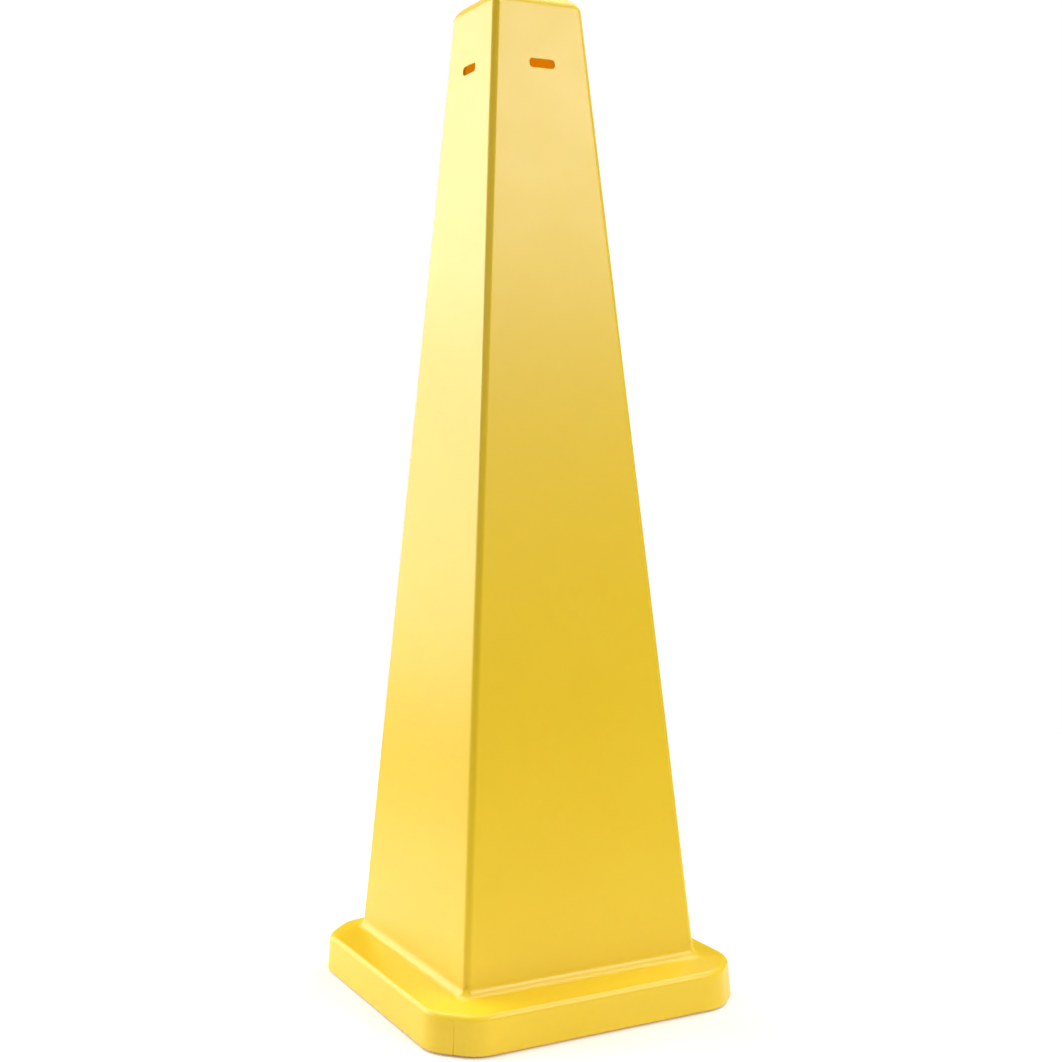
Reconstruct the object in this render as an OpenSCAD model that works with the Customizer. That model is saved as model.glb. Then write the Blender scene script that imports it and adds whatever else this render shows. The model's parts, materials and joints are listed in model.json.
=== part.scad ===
// Four-sided floor safety cone. Hollow, open below, closed on top, standing on four rubber pads.
// Origin: middle of the footprint, on the floor. +Z is up and the slotted faces look along X and Y.

/* [Body] */
// Height of the closed top above the floor
total_h = 914.4; // [900:0.1:930]
// Width across the flats at the top, before its edge is rounded
top_w = 88.4; // [82:0.1:92]
// Width across the flats where the body meets the base
foot_w = 233.8; // [228:0.1:238]
// Radius of the four upright edges
edge_r = 5; // [4:0.1:7]
// Radius of the edge that runs round the top
top_r = 13; // [9:0.1:14]
// Thickness of every wall of the moulding
wall = 3.2; // [2.8:0.1:3.6]

/* [Base] */
// Width of the base at the skirt's rim
base_w = 306.6; // [305:0.1:313]
// Width of the base at its shoulder, before the edge is rounded
shoulder_w = 302.8; // [300:0.1:304.8]
// Height of the shoulder above the floor
shoulder_z = 34.5; // [32:0.1:36]
// Height of the foot of the body above the floor
foot_z = 39.6; // [38.5:0.1:41]
// Length that each corner of the base is cut back along its sides
corner_cut = 31.6; // [28:0.1:33]
// Radius that rounds both ends of a cut corner
corner_r = 34; // [12:0.1:40]
// Radius of the shoulder's edge
shoulder_r = 5.5; // [4.5:0.1:8]
// Radius of the hollow between the base and the body
foot_r = 10; // [8:0.1:11]
// Gap between the rim of the skirt and the floor
rim_z = 2; // [1.5:0.1:3]

/* [Slots] */
// Length of the slot in each face
slot_w = 25.4; // [20:0.1:30]
// Height of the slot
slot_h = 8; // [7:0.1:10]
// Radius of the slot's corners
slot_r = 3; // [2:0.1:3.4]
// Height of the slots' middle above the floor
slot_z = 849.4; // [845:0.1:854]

/* [Foot pads] */
// Distance of each pad from the middle, along X and along Y
pad_at = 122.8; // [121:0.1:124]
// Radius of a pad
pad_r = 10; // [9:0.1:10.5]
// Height of a pad under its socket
pad_h = 4.5; // [4:0.1:6]
// Radius of the stem that presses into the socket
stem_r = 3.5; // [3:0.1:4]
// Length of the stem
stem_h = 12; // [8:0.1:14]
// Radius of the socket post moulded under the base
post_r = 8.5; // [7:0.1:9]

/* [Nesting stops] */
// Thickness of a stop
stop_t = 2.4; // [1.8:0.1:3]
// How far the stops hang below the ceiling
stop_h = 38.8; // [36:0.1:42]
// How far the stops reach in from the wall
stop_reach = 9; // [6:0.1:12]

/* [Hidden] */
SIGN_YELLOW = "#ecc642";
PAD_GREY = "#3c3d3f";
$fn = 48;
// Height of the flat ring on which the shell stands on the base
seam_z = 49;
// Steps in the arc at each end of a cut corner, and in each arc of the profile
corner_steps = 5;
profile_steps = 6;
// A rounded corner keeps a flat this wide between its two arcs, so no two points coincide
arc_flat = 0.3;
// Round gate mark in the middle of the top
gate_r = 6;
gate_depth = 0.8;
// Grooves round the tread of a pad: the inner radius of each, their width and depth. Bevel of the tread
groove_at = [3, 6.5];
groove_w = 1;
groove = 0.7;
bevel = 0.8;
// Least radius of the upright edges inside the wall
least_r = 1.3;

// The section through the middle of a side, as [distance from the axis, height], from rim to top
outside = [
    [base_w / 2, rim_z],
    [shoulder_w / 2, shoulder_z],
    [foot_w / 2, foot_z],
    [top_w / 2, total_h],
    [0, total_h]
];

// Plane geometry of the section. The solid lies to the left of a path that runs up its outside.
function heading(a, b) = (b - a) / norm(b - a);
function left(v) = [-v[1], v[0]];
function meet(a, u, b, v) = a + u * cross(b - a, v) / cross(u, v);
function turned(v, angle) = [v[0] * cos(angle) - v[1] * sin(angle), v[0] * sin(angle) + v[1] * cos(angle)];

// A path moved sideways, towards its left, by a distance
function inset(path, d) = [
    for (i = [0:len(path) - 1])
        let (u = heading(path[max(i - 1, 0)], path[max(i, 1)]))
        let (v = heading(path[min(i, len(path) - 2)], path[min(i + 1, len(path) - 1)]))
        u == v ? path[i] + d * left(u) : meet(path[i] + d * left(u), u, path[i] + d * left(v), v)
];

// The arc that rounds the corner b of the path a, b, c
function corner_arc(a, b, c, r) =
    let (u = heading(a, b), v = heading(b, c))
    let (turn = atan2(cross(u, v), u * v))
    let (start = b - u * r * tan(abs(turn) / 2))
    let (centre = start + sign(turn) * r * left(u))
    [for (k = [0:profile_steps]) centre + turned(start - centre, turn * k / profile_steps)];

// A path whose inner corners are rounded by a radius each
function rounded(path, radii) = [
    path[0],
    for (i = [1:len(path) - 2]) each corner_arc(path[i - 1], path[i], path[i + 1], radii[i - 1])
];

// The point where a rising path passes a height, and the parts of the path below and above it
function passing(path, z) = [
    for (i = [0:len(path) - 2])
        if (path[i][1] < z && path[i + 1][1] >= z)
            path[i] + (path[i + 1] - path[i]) * (z - path[i][1]) / (path[i + 1][1] - path[i][1])
];
function below(path, z) = concat([for (p = path) if (p[1] < z) p], passing(path, z));
function above(path, z) = concat(passing(path, z), [for (p = path) if (p[1] > z) p]);
function reversed(list) = [for (i = [len(list) - 1:-1:0]) list[i]];

// One level of the moulding: a square whose corners are cut and then rounded, counter-clockwise
function level(half, z, cut, r) = [
    for (corner = [0:3])
        for (end = [0:1])
            let (near = half - r, reach = half - cut - r * (sqrt(2) - 1))
            for (k = [0:corner_steps])
                let (arm = r * turned([1, 0], 45 * (end + k / corner_steps)))
                let (point = turned((end == 0 ? [near, reach] : [reach, near]) + arm, 90 * corner))
                [point[0], point[1], z]
];

// The levels of a path that lies the distance d inside the outer surface: cut corners on the base,
// round edges on the body, wider where the path leaves the body's straight flank
function levels(path, d) =
    let (flank = inset(outside, d))
    let (lean = (flank[3][0] - flank[2][0]) / (flank[3][1] - flank[2][1]))
    [for (p = path)
        let (off_flank = abs(p[0] - flank[2][0] - lean * (p[1] - flank[2][1])))
        let (r = edge_r - min(d, edge_r - least_r) + off_flank)
        p[0] > (foot_w + shoulder_w) / 4
            ? level(p[0], p[1], corner_cut - d * (2 - sqrt(2)), corner_r - d)
            : level(p[0], p[1], r * (2 - sqrt(2)) + arc_flat, r)];

outer_path = rounded(outside, [shoulder_r, foot_r, top_r]);
inner_path = rounded(inset(outside, wall), [shoulder_r - wall, foot_r + wall, top_r - wall]);
middle_path =
    rounded(inset(outside, wall / 2), [shoulder_r - wall / 2, foot_r + wall / 2, top_r - wall / 2]);

// The solid between neighbouring levels. A looped one joins its last level to its first.
module loft(stack, looped = false) {
    count = len(stack[0]);
    last = len(stack) - 1;
    polyhedron(
        points = [for (ring = stack) each ring],
        faces = [
            for (i = [0:looped ? last : last - 1], j = [0:count - 1])
                let (above_i = (i + 1) % (last + 1), next_j = (j + 1) % count)
                each [
                    [i * count + j, above_i * count + j, above_i * count + next_j],
                    [i * count + j, above_i * count + next_j, i * count + next_j]
                ],
            if (!looped) [for (j = [0:count - 1]) j],
            if (!looped) [for (j = [count - 1:-1:0]) last * count + j]
        ]
    );
}

// Everything inside the middle of the wall: it trims the posts and stops
module core() {
    loft(levels(middle_path, wall / 2));
}

// A slot along X through both walls, with rounded corners
module slot() {
    for (side = [-1, 1], level = [-1, 1])
        translate([0, side * (slot_w / 2 - slot_r), level * (slot_h / 2 - slot_r)])
            rotate([0, 90, 0]) cylinder(r = slot_r, h = top_w * 2, center = true);
    cube([top_w * 2, slot_w - 2 * slot_r, slot_h], center = true);
    cube([top_w * 2, slot_w, slot_h - 2 * slot_r], center = true);
}

// Stops under the ceiling that keep nested cones from jamming
module nesting_stops() {
    for (turn = [0:90:270])
        rotate(turn) translate([top_w / 2 - wall - stop_reach, -stop_t / 2, total_h - wall - stop_h])
            cube([stop_reach + 2 * wall, stop_t, stop_h + wall]);
}

module at_each_pad() {
    for (x = [-1, 1], y = [-1, 1]) translate([x * pad_at, y * pad_at, 0]) children();
}

module cone_shell() {
    color(SIGN_YELLOW) difference() {
        union() {
            loft(concat(
                levels(reversed(above(inner_path, seam_z)), wall),
                levels(above(outer_path, seam_z), 0)
            ));
            intersection() {
                core();
                nesting_stops();
            }
        }
        for (turn = [0, 90]) translate([0, 0, slot_z]) rotate(turn) slot();
        translate([0, 0, total_h - gate_depth]) cylinder(r = gate_r, h = wall);
    }
}

module base_skirt() {
    color(SIGN_YELLOW) difference() {
        union() {
            loft(concat(
                levels(below(outer_path, seam_z), 0),
                levels(reversed(below(inner_path, seam_z)), wall)
            ), looped = true);
            intersection() {
                core();
                at_each_pad() translate([0, 0, pad_h]) cylinder(r = post_r, h = foot_z);
            }
        }
        at_each_pad() cylinder(r = stem_r, h = pad_h + stem_h);
    }
}

// A pad with its stem, turned about its own axis and set under one corner
module foot_pad(x, y) {
    color(PAD_GREY) translate([x * pad_at, y * pad_at, 0]) {
        rotate_extrude() polygon([
            [0, 0],
            for (g = groove_at) each [[g, 0], [g, groove], [g + groove_w, groove], [g + groove_w, 0]],
            [pad_r - bevel, 0],
            [pad_r, bevel],
            [pad_r, pad_h],
            [0, pad_h]
        ]);
        cylinder(r = stem_r, h = pad_h + stem_h);
    }
}

cone_shell();
base_skirt();
foot_pad(-1, -1);  // foot_pad_front_left
foot_pad(1, -1);  // foot_pad_front_right
foot_pad(-1, 1);  // foot_pad_back_left
foot_pad(1, 1);  // foot_pad_back_right
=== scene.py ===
import json
import math

import bmesh
import bpy
from mathutils import Matrix, Vector


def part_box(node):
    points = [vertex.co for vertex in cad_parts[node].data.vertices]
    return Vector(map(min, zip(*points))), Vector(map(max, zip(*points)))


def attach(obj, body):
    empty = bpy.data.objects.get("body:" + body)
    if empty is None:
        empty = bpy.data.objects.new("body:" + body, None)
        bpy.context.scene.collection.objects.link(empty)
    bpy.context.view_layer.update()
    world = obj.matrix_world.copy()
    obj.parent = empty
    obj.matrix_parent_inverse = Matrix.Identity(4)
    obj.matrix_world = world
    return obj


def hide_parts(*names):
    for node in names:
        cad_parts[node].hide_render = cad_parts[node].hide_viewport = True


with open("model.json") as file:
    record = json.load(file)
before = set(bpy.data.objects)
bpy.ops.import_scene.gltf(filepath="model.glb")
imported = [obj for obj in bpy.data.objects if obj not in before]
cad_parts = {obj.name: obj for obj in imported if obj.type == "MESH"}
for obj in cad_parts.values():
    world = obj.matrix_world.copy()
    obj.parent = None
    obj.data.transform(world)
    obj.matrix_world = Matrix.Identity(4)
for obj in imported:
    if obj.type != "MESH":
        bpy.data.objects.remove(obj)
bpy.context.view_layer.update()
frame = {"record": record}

SHELL_LOW, SHELL_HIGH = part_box("cone_shell")
BASE_LOW, BASE_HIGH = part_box("base_skirt")
SLOTS = [m for m in frame["record"]["mounts"] if m["name"].startswith("slot_")]

# ---------------------------------------------------------------- sizes, in metres

TOP_Z = SHELL_HIGH.z
SEAM_Z = SHELL_LOW.z
WALL = 0.0032

# The corners of the outer section, each as half the width there and its height, and their roundings.
RIM = Vector((BASE_HIGH.x, BASE_LOW.z))
SHOULDER = Vector((0.1514, 0.0345))
FOOT = Vector((0.1169, 0.0396))
TOP_HALF = 0.0442
RIM_R = 0.0009
SHOULDER_R = 0.0055
FOOT_R = 0.01
TOP_R = 0.013

# The body's upright edges, with a narrow flat in the middle. Inside they are no sharper than LEAST_EDGE_R.
EDGE_R = 0.005
LEAST_EDGE_R = 0.0013
EDGE_FLAT = 0.0012

# The cut corners of the base.
CORNER_CUT = 0.0316
CORNER_R = 0.034

# How far each face of the body sinks in its middle.
PANEL_BOW = 0.0004
# The mould line on each corner: its height on the skirt, where it is a groove, and on the body, and its
# section, as places across it and the share of its height there.
SKIRT_LINE = -0.0008
BODY_LINE = 0.00006
LINE = ((-0.00055, 0.0), (-0.00035, 1.0), (0.00035, 1.0), (0.00055, 0.0))

SLOT_SIZE = Vector((0.0254, 0.008))
SLOT_R = 0.003
SLOT_BEVEL = 0.0005
CUTTER_REACH = 0.02

# The top: where its rings lie between edge and middle, and the gate mark as radii and depths.
CROWN_SHARES = (0.8, 0.6, 0.4)
GATE_MARK = (
    (0.0068, 0.0), (0.0062, 0.0), (0.0059, -0.0002),
    (0.0058, -0.0008), (0.0022, -0.0008), (0.0018, -0.0004),
)

# The stops under the ceiling that keep nested cones from jamming.
STOP_THICK = 0.0024
STOP_REACH = 0.009
STOP_DROP = 0.0388

# The foot pads, and the socket posts that their stems go into.
PAD_NODES = ["foot_pad_front_left", "foot_pad_front_right", "foot_pad_back_left", "foot_pad_back_right"]
PAD_TOP = 0.0045
POST_R = 0.0085
POST_BEVEL = 0.0006
STEM_R = 0.0035
SOCKET_GAP = 0.0001
GROOVES = ((0.003, 0.004), (0.0065, 0.0075))
GROOVE_DEEP = 0.0007

FLOOR_R = 2.4

# ---------------------------------------------------------------- the section and its levels

ARC_STEPS = 12
RIM_STEPS = 4
CIRCLE_STEPS = 64
FLOOR_STEPS = 96
CORNER_STEPS = 8
FLAT_STEPS = 12
FLANK_STEPS = 44
FLANK_MARGIN = 0.01
# The width of the strip at each end of a flat that keeps the shading of the flat even.
EDGE_HOLD = 0.0006

# The cut of a square corner whose 45 degree flat just touches an arc of radius 1 in that corner.
ARC_CUT = 2 - math.sqrt(2)
# The largest arc and flat that a narrow level can hold, as shares of its half width.
MOST_ROUND = 0.96
MOST_FLAT = 0.02
# The largest share of a corner's flat that the mould line takes.
MOST_LINE = 0.9
# A point this near the straight flank counts as on it.
FLANK_SLACK = 1e-4


def heading(a, b):
    return (b - a).normalized()


def left(v):
    return Vector((-v.y, v.x))


def meet(a, u, b, v):
    """Where the line through a along u meets the line through b along v."""
    return a + u * ((b - a).cross(v) / u.cross(v))


def inset(path, d):
    """The path moved sideways, towards the solid on its left."""
    moved = []
    for i, point in enumerate(path):
        u = heading(path[max(i - 1, 0)], path[max(i, 1)])
        v = heading(path[min(i, len(path) - 2)], path[min(i + 1, len(path) - 1)])
        if abs(u.cross(v)) < 1e-9:
            moved.append(point + d * left(u))
        else:
            moved.append(meet(point + d * left(u), u, point + d * left(v), v))
    return moved


def corner_arc(a, b, c, radius, steps):
    """The points of the arc that rounds the corner b of a path through a, b and c."""
    u, v = heading(a, b), heading(b, c)
    turn = math.atan2(u.cross(v), u.dot(v))
    start = b - u * radius * math.tan(abs(turn) / 2)
    centre = start + math.copysign(radius, turn) * left(u)
    return [centre + Matrix.Rotation(turn * k / steps, 2) @ (start - centre) for k in range(steps + 1)]


def rounded(path, radii):
    """The path with each inner corner rounded; it ends at the last corner's arc."""
    points = [path[0]]
    for i, radius in enumerate(radii, 1):
        points += corner_arc(path[i - 1], path[i], path[i + 1], radius, ARC_STEPS)
    return points


def filled(path, low, high, steps):
    """The path with its one long stretch between two heights cut into equal steps."""
    points = []
    for a, b in zip(path, path[1:]):
        points.append(a)
        if a.y < low and b.y > high:
            points += [a.lerp(b, k / steps) for k in range(1, steps)]
    return points + [path[-1]]


def passing(path, z):
    """The point where a rising path passes a height."""
    for a, b in zip(path, path[1:]):
        if a.y < z <= b.y:
            return a.lerp(b, (z - a.y) / (b.y - a.y))


OUTSIDE = [RIM, SHOULDER, FOOT, Vector((TOP_HALF, TOP_Z)), Vector((0, TOP_Z))]
INSIDE = inset(OUTSIDE, WALL)


def skin(depth):
    """The section at a depth below the outer surface, with its corners rounded to match."""
    return rounded(inset(OUTSIDE, depth), [SHOULDER_R - depth, FOOT_R + depth, TOP_R - depth])


def above_seam(path):
    return [passing(path, SEAM_Z)] + [p for p in path if p.y > SEAM_Z]


def below_seam(path):
    return [p for p in path if p.y < SEAM_Z] + [passing(path, SEAM_Z)]


def ring(half, z, cut, radius, line=0.0, bow=0.0):
    """One level: a square with cut and rounded corners, counter-clockwise from the +X side's far end.
    line is the height of the mould line on each corner, and bow how far the flats sink in the middle."""
    near, reach = half - radius, half - cut - radius * (math.sqrt(2) - 1)
    arms = [
        radius * Vector((math.cos(a), math.sin(a)))
        for a in (math.radians(45 * k / CORNER_STEPS) for k in range(2 * CORNER_STEPS + 1))
    ]
    corner = [Vector((near, reach)) + arm for arm in arms[: CORNER_STEPS + 1]]
    far = [Vector((reach, near)) + arm for arm in arms[CORNER_STEPS:]]
    middle = (corner[-1] + far[0]) / 2
    width = (far[0] - corner[-1]).length
    along, out = heading(corner[-1], far[0]), Vector((1, 1)).normalized()
    squeeze = min(1.0, MOST_LINE * width / (LINE[-1][0] - LINE[0][0]))
    corner += [middle + along * s * squeeze + out * line * h for s, h in LINE]
    corner += far
    flat_end = Vector((-far[-1].x, far[-1].y))
    length = (flat_end - far[-1]).length
    hold = min(EDGE_HOLD, length / 8)
    marks = [hold] + [length * k / FLAT_STEPS for k in range(1, FLAT_STEPS)] + [length - hold]
    for s in marks:
        dip = bow * math.sin(math.pi * s / length) ** 2
        corner.append(far[-1] + Vector((-s, -dip)))
    points = []
    for quarter in range(4):
        turn = Matrix.Rotation(math.radians(90 * quarter), 2)
        points += [turn @ p for p in corner]
    return [Vector((p.x, p.y, z)) for p in points]


def levels(path, depth, line=0.0, bow=0.0):
    """The rings of a path that lies at a depth below the outer surface: cut corners on the base and
    round edges on the body, widening where the path leaves the straight flank."""
    low, high = inset(OUTSIDE, depth)[2:4]
    rings = []
    for point in path:
        if point.x > (FOOT.x + SHOULDER.x) / 2:
            cut = CORNER_CUT - depth * ARC_CUT
            on_skirt = point.y < SHOULDER.y - SHOULDER_R
            rings.append(ring(point.x, point.y, cut, CORNER_R - depth, line if on_skirt else 0.0))
            continue
        share = (point.y - low.y) / (high.y - low.y)
        off_flank = abs(point.x - low.lerp(high, share).x)
        on_flank = off_flank < FLANK_SLACK
        radius = EDGE_R - min(depth, EDGE_R - LEAST_EDGE_R) + off_flank
        radius = min(radius, MOST_ROUND * point.x)
        cut = radius * ARC_CUT + min(EDGE_FLAT, MOST_FLAT * point.x)
        sag = bow * math.sin(math.pi * min(max(share, 0), 1)) if on_flank else 0.0
        rings.append(ring(point.x, point.y, cut, radius, line if on_flank else 0.0, sag))
    return rings


# ---------------------------------------------------------------- mesh helpers

SHARP_ANGLE = math.radians(38)
BEVEL_ANGLE = math.radians(35)
BEVEL_STEPS = 3

# A face of the hollow gets the painted glow if it looks this squarely at the axis, or down from the ceiling
# or the base.
LOOKS_IN = 0.5
LOOKS_DOWN = 0.3
PAINTED_GLOW_LOW = SHOULDER.y - 0.006
PAINTED_GLOW_HIGH = TOP_Z - WALL / 2
CEILING_LOW = TOP_Z - 0.05


def mesh_object(name, points, faces):
    mesh = bpy.data.meshes.new(name)
    mesh.from_pydata([tuple(p) for p in points], [], faces)
    mesh.update()
    piece = bpy.data.objects.new(name, mesh)
    bpy.context.scene.collection.objects.link(piece)
    return piece


def loft(name, stack, looped=False):
    """The closed surface through a stack of rings with equal counts; a looped stack has no caps."""
    count, last = len(stack[0]), len(stack) - 1
    points = [p for one in stack for p in one]
    faces = []
    for i in range(last + 1 if looped else last):
        above = (i + 1) % (last + 1)
        for j in range(count):
            side = (j + 1) % count
            faces.append((i * count + j, i * count + side, above * count + side, above * count + j))
    if not looped:
        faces.append(tuple(reversed(range(count))))
        faces.append(tuple(last * count + j for j in range(count)))
    return mesh_object(name, points, faces)


def prism(name, outline, low, high, place):
    """A straight-sided solid: an outline of 2-D points carried from low to high, then placed."""
    count = len(outline)
    points = [place @ Vector((p.x, p.y, h)) for h in (low, high) for p in outline]
    faces = [(j, (j + 1) % count, count + (j + 1) % count, count + j) for j in range(count)]
    faces += [tuple(reversed(range(count))), tuple(count + j for j in range(count))]
    return mesh_object(name, points, faces)


def combine(piece, other, operation):
    """Joins, cuts or trims the piece with another solid, which is then removed."""
    step = piece.modifiers.new("combine", "BOOLEAN")
    step.operation = operation
    step.solver = "EXACT"
    step.object = other
    apply_modifiers(piece)
    bpy.data.objects.remove(other)


def apply_modifiers(piece):
    bpy.context.view_layer.update()
    graph = bpy.context.evaluated_depsgraph_get()
    mesh = bpy.data.meshes.new_from_object(piece.evaluated_get(graph))
    piece.modifiers.clear()
    piece.data = mesh


def soften(piece, chosen, width):
    """Rounds the sharp edges whose middle is chosen."""
    work = bmesh.new()
    work.from_mesh(piece.data)
    edges = [
        e
        for e in work.edges
        if e.is_manifold and e.calc_face_angle() > BEVEL_ANGLE and chosen((e.verts[0].co + e.verts[1].co) / 2)
    ]
    bmesh.ops.bevel(
        work, geom=edges, offset=width, offset_type="OFFSET", segments=BEVEL_STEPS, profile=0.5,
        affect="EDGES", clamp_overlap=True,
    )
    work.to_mesh(piece.data)
    work.free()


def shade(piece):
    """Smooth shading, with hard edges kept and large flats kept flat."""
    for face in piece.data.polygons:
        face.use_smooth = True
    piece.data.set_sharp_from_angle(angle=SHARP_ANGLE)
    step = piece.modifiers.new("normals", "WEIGHTED_NORMAL")
    step.keep_sharp = True
    step.weight = 100


def paint_hollow_glow(piece, lit):
    """Gives the faces that look into the hollow the second material, which carries the painted glow. The
    slots' cheeks keep the first.
    """
    piece.data.materials.append(lit)
    for face in piece.data.polygons:
        away = Vector(face.center.xy)
        inward = away.length > 1e-6 and face.normal.xy.dot(away.normalized()) < -LOOKS_IN
        down = face.normal.z < -LOOKS_DOWN and (face.center.z > CEILING_LOW or face.center.z < SEAM_Z)
        if (inward or down) and PAINTED_GLOW_LOW < face.center.z < PAINTED_GLOW_HIGH:
            face.material_index = 1


def circle(radius, steps=CIRCLE_STEPS):
    angles = [2 * math.pi * k / steps for k in range(steps)]
    return [radius * Vector((math.cos(a), math.sin(a))) for a in angles]


def slot_outline():
    """A rounded rectangle: x runs along the slot and y up."""
    points = []
    for sx, sy, start in ((1, 1, 0), (-1, 1, 90), (-1, -1, 180), (1, -1, 270)):
        centre = Vector((sx * (SLOT_SIZE.x / 2 - SLOT_R), sy * (SLOT_SIZE.y / 2 - SLOT_R)))
        for k in range(ARC_STEPS + 1):
            a = math.radians(start + 90 * k / ARC_STEPS)
            points.append(centre + SLOT_R * Vector((math.cos(a), math.sin(a))))
    return points


# ---------------------------------------------------------------- the pieces


def build_shell():
    """The hollow body, closed on top, with a slot through each face and four stops under the ceiling."""
    span = FOOT.y + FOOT_R, TOP_Z - TOP_R - FLANK_MARGIN
    outer = filled(above_seam(skin(0.0)), *span, FLANK_STEPS)
    inner = filled(above_seam(skin(WALL)), *span, FLANK_STEPS // 2)
    crown = [Vector((outer[-1].x * share, TOP_Z)) for share in CROWN_SHARES]
    stack = levels(list(reversed(inner)), WALL) + levels(outer, 0.0, BODY_LINE, PANEL_BOW)
    stack += levels(crown, 0.0) + gate_levels()
    piece = loft("cone_shell_moulding", stack)
    for quarter in range(4):
        combine(piece, nesting_stop(quarter), "UNION")
    for mount in SLOTS:
        out = Vector(mount["axis"])
        turn = out.to_track_quat("Z", "Y").to_matrix().to_4x4()
        place = Matrix.Translation(Vector(mount["pos_m"])) @ turn
        cutter = prism("slot_cutter", slot_outline(), -CUTTER_REACH, CUTTER_REACH, place)
        combine(piece, cutter, "DIFFERENCE")
    slot_z = SLOTS[0]["pos_m"][2]
    soften(piece, lambda p: abs(p.z - slot_z) < SLOT_SIZE.y, SLOT_BEVEL)
    return piece


def gate_levels():
    """The round gate mark in the middle of the top: a shallow dish with a low pip in it."""
    rings = []
    for r, dz in GATE_MARK:
        rings.append(ring(r, TOP_Z + dz, MOST_ROUND * r * ARC_CUT + MOST_FLAT * r, MOST_ROUND * r))
    return rings


def nesting_stop(quarter):
    """A fin in the corner between the ceiling and the middle of one wall. Its outline bends inwards near the
    top, so that it stays inside the wall where the top edge is rounded."""
    low, high = inset(OUTSIDE, WALL / 2)[2:4]
    ceiling = TOP_Z - WALL
    bottom, top = ceiling - STOP_DROP, ceiling + WALL / 2
    bend = top - TOP_R * 0.7

    def wall_at(z):
        return low.lerp(high, (z - low.y) / (high.y - low.y)).x

    inner = TOP_HALF - WALL - STOP_REACH
    section = [(inner, bottom), (wall_at(bottom), bottom), (wall_at(bend), bend)]
    section += [(wall_at(top) - TOP_R * 0.5, top), (inner, top)]
    outline = [Vector(p) for p in section]
    turn = Matrix.Rotation(math.radians(90 * quarter), 4, "Z") @ Matrix.Rotation(math.radians(90), 4, "X")
    return prism("nesting_stop", outline, -STOP_THICK / 2, STOP_THICK / 2, turn)


def base_path():
    """The closed section of the base in two halves: up the outside to the seam, and down the inside."""
    outer, inner = below_seam(skin(0.0))[1:], below_seam(skin(WALL))[1:]
    inner_rim = Vector((INSIDE[0].x, RIM.y))
    lip_out = corner_arc(inner_rim, RIM, SHOULDER, RIM_R, RIM_STEPS)
    lip_in = corner_arc(INSIDE[1], inner_rim, RIM, RIM_R, RIM_STEPS)
    return lip_out + outer, list(reversed(inner)) + lip_in


def build_base():
    """The flared base, with a socket post for the stem of each pad."""
    outer, inner = base_path()
    stack = levels(outer, 0.0, SKIRT_LINE) + levels(inner, WALL)
    piece = loft("base_skirt_moulding", stack, looped=True)
    for name in PAD_NODES:
        low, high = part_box(name)
        at = Matrix.Translation(((low.x + high.x) / 2, (low.y + high.y) / 2, 0))
        post = prism("post", circle(POST_R), PAD_TOP, FOOT.y, at)
        combine(post, core(), "INTERSECT")
        combine(piece, post, "UNION")
        combine(piece, prism("socket", circle(STEM_R + SOCKET_GAP), 0.0, high.z, at), "DIFFERENCE")
    soften(piece, lambda p: abs(p.z - PAD_TOP) < 1e-4, POST_BEVEL)
    return piece


def core():
    """Everything inside the middle of the wall of the base, to trim what stands on its underside."""
    path = [p for p in skin(WALL / 2) if p.y < SEAM_Z]
    return loft("core", levels(path, WALL / 2))


def build_pad(node):
    """A round rubber pad with a bevelled tread, two grooves and a bevelled stem, turned about its own axis.
    The small lengths in its section are the widths of its bevels."""
    low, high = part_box(node)
    radius = (high.x - low.x) / 2
    centre = Vector(((low.x + high.x) / 2, (low.y + high.y) / 2, 0))
    soft = 0.0002
    section = []
    for inner, outer in GROOVES:
        section += [(inner - soft, 0.0), (inner, soft), (inner + soft, GROOVE_DEEP)]
        section += [(outer - soft, GROOVE_DEEP), (outer, soft), (outer + soft, 0.0)]
    section += [(radius - 0.0008, 0.0), (radius - 0.0003, 0.0003), (radius, 0.0009)]
    section += [(radius, PAD_TOP - 0.0005), (radius - 0.0005, PAD_TOP), (STEM_R + 0.0004, PAD_TOP)]
    section += [(STEM_R, PAD_TOP + 0.0004), (STEM_R, high.z - 0.0012), (STEM_R - 0.0004, high.z - 0.0004)]
    section += [(STEM_R - 0.0014, high.z)]
    steps = CIRCLE_STEPS
    points, faces = [centre], []
    for r, z in section:
        points += [centre + Vector((p.x, p.y, z)) for p in circle(r)]
    points.append(centre + Vector((0, 0, high.z)))
    for i in range(len(section) - 1):
        a, b = 1 + i * steps, 1 + (i + 1) * steps
        faces += [(a + j, a + (j + 1) % steps, b + (j + 1) % steps, b + j) for j in range(steps)]
    faces += [(0, 1 + (j + 1) % steps, 1 + j) for j in range(steps)]
    top = 1 + (len(section) - 1) * steps
    faces += [(len(points) - 1, top + j, top + (j + 1) % steps) for j in range(steps)]
    return mesh_object(node.replace("foot_pad", "rubber_pad"), points, faces)


# ---------------------------------------------------------------- materials

GRAIN_DEEP = 0.0002
# painted glow: emission on the faces inside the hollow, standing in for light through the walls
PAINTED_INSIDE_GLOW = 0.165
FLOOR_GLOW = 0.1
FADE_START = 0.2 * FLOOR_R
FADE_END = 0.62 * FLOOR_R


def new_material(name):
    material = bpy.data.materials.new(name)
    material.use_nodes = True
    nodes = material.node_tree.nodes
    return material, nodes, material.node_tree.links, nodes["Principled BSDF"]


def noise(nodes, links, place, scale, detail):
    """The strength of a noise in the piece's own coordinates."""
    texture = nodes.new("ShaderNodeTexNoise")
    texture.inputs["Scale"].default_value = scale
    texture.inputs["Detail"].default_value = detail
    links.new(place.outputs["Object"], texture.inputs["Vector"])
    return texture.outputs["Fac"]


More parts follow.
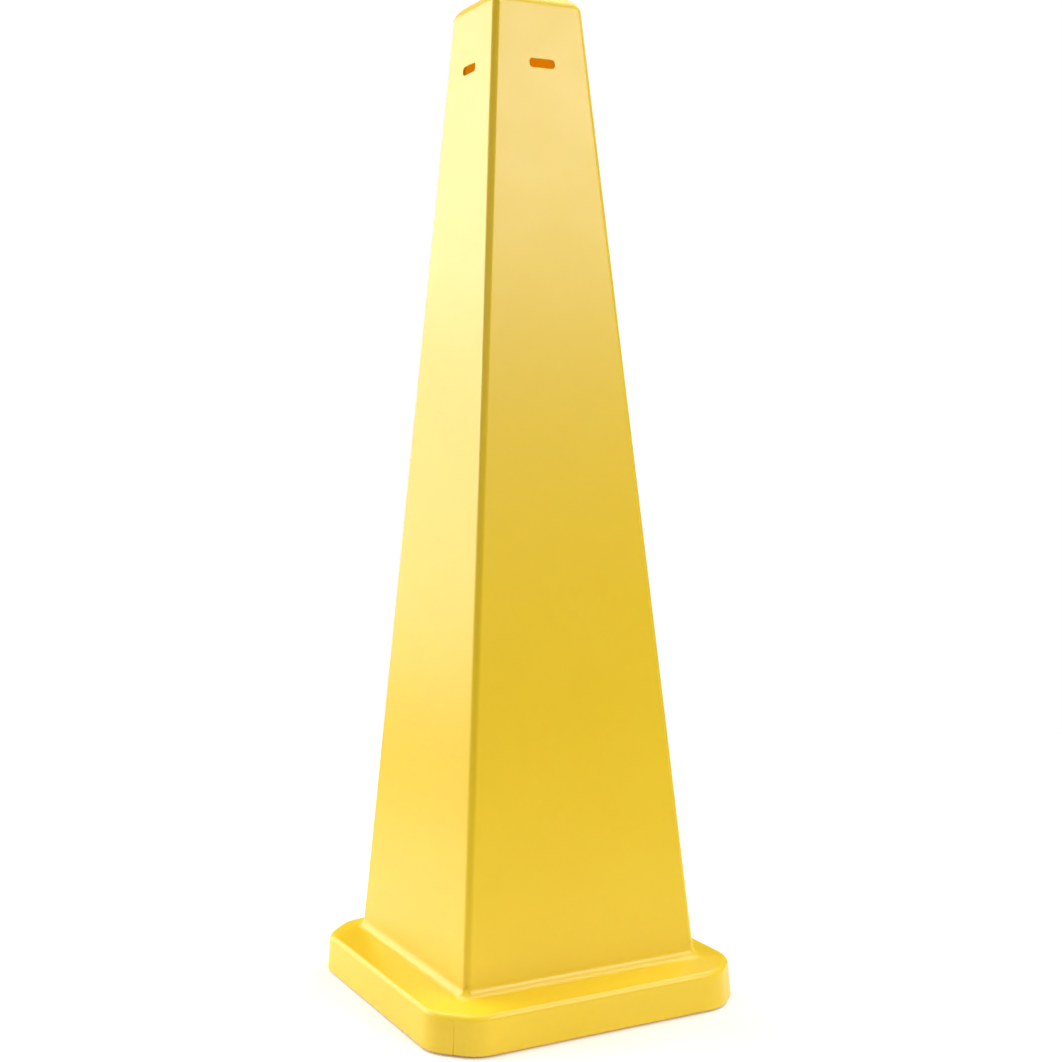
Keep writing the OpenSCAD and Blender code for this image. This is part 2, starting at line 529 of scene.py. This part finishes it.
def tinted(nodes, links, shader, strength, dark, light):
    """Colours the shader between two tones, each given with its place on the noise's scale."""
    tint = nodes.new("ShaderNodeValToRGB")
    for element, (position, colour) in zip(tint.color_ramp.elements, (dark, light)):
        element.position = position
        element.color = colour
    links.new(strength, tint.inputs["Fac"])
    links.new(tint.outputs["Color"], shader.inputs["Base Color"])


def grained(nodes, links, shader, height, strength):
    """Gives the surface a fine bump."""
    bump = nodes.new("ShaderNodeBump")
    bump.inputs["Strength"].default_value = strength
    bump.inputs["Distance"].default_value = GRAIN_DEEP
    links.new(height, bump.inputs["Height"])
    links.new(bump.outputs["Normal"], shader.inputs["Normal"])


def yellow_plastic(name="yellow_plastic", painted_glow=0.0):
    """Moulded satin plastic, whose gloss and grain vary finely. The painted glow is an emission that paints
    in the orange light that the walls let through to the hollow; it is painted light, not a lamp."""
    material, nodes, links, shader = new_material(name)
    shader.inputs["Emission Color"].default_value = (1.0, 0.46, 0.004, 1)
    shader.inputs["Emission Strength"].default_value = painted_glow
    place = nodes.new("ShaderNodeTexCoord")
    cloud = noise(nodes, links, place, 5.0, 3.0)
    tinted(nodes, links, shader, cloud, (0.3, (0.855, 0.58, 0.016, 1)), (0.7, (0.875, 0.605, 0.022, 1)))
    shader.inputs["Subsurface Weight"].default_value = 0.2
    shader.inputs["Subsurface Radius"].default_value = (1.0, 0.5, 0.1)
    shader.inputs["Subsurface Scale"].default_value = 0.002
    shader.inputs["IOR"].default_value = 1.5
    gloss = noise(nodes, links, place, 28.0, 4.0)
    spread = nodes.new("ShaderNodeMapRange")
    spread.inputs["From Min"].default_value = 0.3
    spread.inputs["From Max"].default_value = 0.7
    spread.inputs["To Min"].default_value = 0.355
    spread.inputs["To Max"].default_value = 0.385
    links.new(gloss, spread.inputs["Value"])
    links.new(spread.outputs["Result"], shader.inputs["Roughness"])
    grained(nodes, links, shader, noise(nodes, links, place, 900.0, 2.0), 0.12)
    return material


def pad_rubber():
    """Dull dark rubber with a fine grain."""
    material, nodes, links, shader = new_material("pad_rubber")
    place = nodes.new("ShaderNodeTexCoord")
    grain = noise(nodes, links, place, 600.0, 4.0)
    tinted(nodes, links, shader, grain, (0.0, (0.028, 0.029, 0.031, 1)), (1.0, (0.055, 0.056, 0.058, 1)))
    shader.inputs["Roughness"].default_value = 0.78
    grained(nodes, links, shader, grain, 0.4)
    return material


def floor_white():
    """Matt white that fades out towards the edge of the floor, into the white of the room."""
    material, nodes, links, shader = new_material("floor_white")
    shader.inputs["Base Color"].default_value = (0.88, 0.88, 0.88, 1)
    shader.inputs["Roughness"].default_value = 0.8
    shader.inputs["Emission Color"].default_value = (1, 1, 1, 1)
    shader.inputs["Emission Strength"].default_value = FLOOR_GLOW
    place = nodes.new("ShaderNodeTexCoord")
    reach = nodes.new("ShaderNodeVectorMath")
    reach.operation = "LENGTH"
    links.new(place.outputs["Object"], reach.inputs[0])
    fade = nodes.new("ShaderNodeMapRange")
    fade.interpolation_type = "SMOOTHSTEP"
    fade.inputs["From Min"].default_value = FADE_START
    fade.inputs["From Max"].default_value = FADE_END
    links.new(reach.outputs["Value"], fade.inputs["Value"])
    clear = nodes.new("ShaderNodeBsdfTransparent")
    mix = nodes.new("ShaderNodeMixShader")
    links.new(fade.outputs["Result"], mix.inputs[0])
    links.new(shader.outputs[0], mix.inputs[1])
    links.new(clear.outputs[0], mix.inputs[2])
    links.new(mix.outputs[0], nodes["Material Output"].inputs["Surface"])
    return material


# ---------------------------------------------------------------- studio

LIGHT_AIM = Vector((0, 0, 0.5))
LIGHT_DISTANCE = 2.8


def build_floor():
    """A pale disc that the cone stands on."""
    rim = [Vector((p.x, p.y, 0)) for p in circle(FLOOR_R, FLOOR_STEPS)]
    piece = mesh_object("studio_floor", rim, [tuple(range(FLOOR_STEPS))])
    piece.data.materials.append(floor_white())


def softbox(name, size, azimuth, elevation, power):
    """An area light that faces LIGHT_AIM. Azimuth 0 is in front, on the -Y side, and turns towards +X."""
    data = bpy.data.lights.new(name, "AREA")
    data.shape = "RECTANGLE"
    data.size, data.size_y = size
    data.energy = power
    light = bpy.data.objects.new(name, data)
    a, e = math.radians(azimuth), math.radians(elevation)
    away = Vector((math.sin(a) * math.cos(e), -math.cos(a) * math.cos(e), math.sin(e)))
    light.location = LIGHT_AIM + LIGHT_DISTANCE * away
    light.rotation_euler = away.to_track_quat("Z", "Y").to_euler()
    light.visible_camera = False
    bpy.context.scene.collection.objects.link(light)


def build_world():
    """White where the camera sees it and dark to everything else, so that it does not light the cone."""
    world = bpy.data.worlds.new("studio")
    world.use_nodes = True
    bpy.context.scene.world = world
    nodes, links = world.node_tree.nodes, world.node_tree.links
    shown = nodes["Background"]
    shown.inputs["Color"].default_value = (1, 1, 1, 1)
    shown.inputs["Strength"].default_value = 1.0
    lit = nodes.new("ShaderNodeBackground")
    lit.inputs["Color"].default_value = (1, 1, 1, 1)
    lit.inputs["Strength"].default_value = 0.0
    ray = nodes.new("ShaderNodeLightPath")
    mix = nodes.new("ShaderNodeMixShader")
    links.new(ray.outputs["Is Camera Ray"], mix.inputs[0])
    links.new(lit.outputs[0], mix.inputs[1])
    links.new(shown.outputs[0], mix.inputs[2])
    links.new(mix.outputs[0], nodes["World Output"].inputs["Surface"])


def build_camera():
    """A camera a little above half the height of the cone, to the left of its front, held nearly level."""
    azimuth, distance, height = math.radians(-27.363), 1.4979, 0.5199
    pitch, roll = math.radians(1.470), math.radians(-0.4285)
    forward = Vector((-math.sin(azimuth), math.cos(azimuth), 0))
    right = Vector((math.cos(azimuth), math.sin(azimuth), 0))
    up = Vector((0, 0, 1))
    level = forward
    forward = level * math.cos(pitch) - up * math.sin(pitch)
    up = up * math.cos(pitch) + level * math.sin(pitch)
    flat = right
    right = flat * math.cos(roll) + up * math.sin(roll)
    up = up * math.cos(roll) - flat * math.sin(roll)
    turn = Matrix((right, up, -forward)).transposed().to_4x4()
    data = bpy.data.cameras.new("camera")
    data.sensor_width = 36.0
    data.lens = 54.28475
    data.shift_x = 0.010311
    data.shift_y = -0.057439
    camera = bpy.data.objects.new("camera", data)
    place = Vector((math.sin(azimuth) * distance, -math.cos(azimuth) * distance, height))
    camera.matrix_world = Matrix.Translation(place) @ turn
    bpy.context.scene.collection.objects.link(camera)
    bpy.context.scene.camera = camera


def build_lights():
    """Ten white panels round the cone, each with its width and height, azimuth, elevation and power."""
    for name, size, azimuth, elevation, power in (
        ("key_low", (1.5, 0.55), 27, 20.5, 13),
        ("key", (1.5, 0.55), 27, 28, 35),
        ("overhead", (2.2, 2.2), 0, 88, 27),
        ("right_high", (1.5, 1.2), 84, 58, 37),
        ("right_back", (1.5, 0.9), 117, 36, 12),
        ("left_fill", (1.5, 0.55), -63, 21, 8),
        ("left", (1.5, 0.45), -123, 11, 38),
        ("back_left_low", (1.5, 0.85), -153, -1, 11),
        ("back_left", (1.5, 1.15), -153, 21, 26),
        ("back_left_high", (1.5, 1.2), -153, 58, 38),
    ):
        softbox(name, size, azimuth, elevation, power)


build_camera()
build_world()
build_lights()
build_floor()
plastic, rubber = yellow_plastic(), pad_rubber()
# a copy of the plastic with a painted glow, for the faces inside the hollow
painted_glow_plastic = yellow_plastic("yellow_plastic_painted_glow", PAINTED_INSIDE_GLOW)
shell, base = build_shell(), build_base()
for piece, node in ((shell, "cone_shell"), (base, "base_skirt")):
    piece.data.materials.clear()
    piece.data.materials.append(plastic)
    # paints the glow onto the faces inside the hollow
    paint_hollow_glow(piece, painted_glow_plastic)
    shade(piece)
    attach(piece, "root")
    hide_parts(node)
for node in PAD_NODES:
    pad = build_pad(node)
    pad.data.materials.append(rubber)
    shade(pad)
    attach(pad, "root")
    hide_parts(node)

bpy.context.scene.view_settings.view_transform = "Standard"
bpy.context.scene.cycles.use_denoising = True
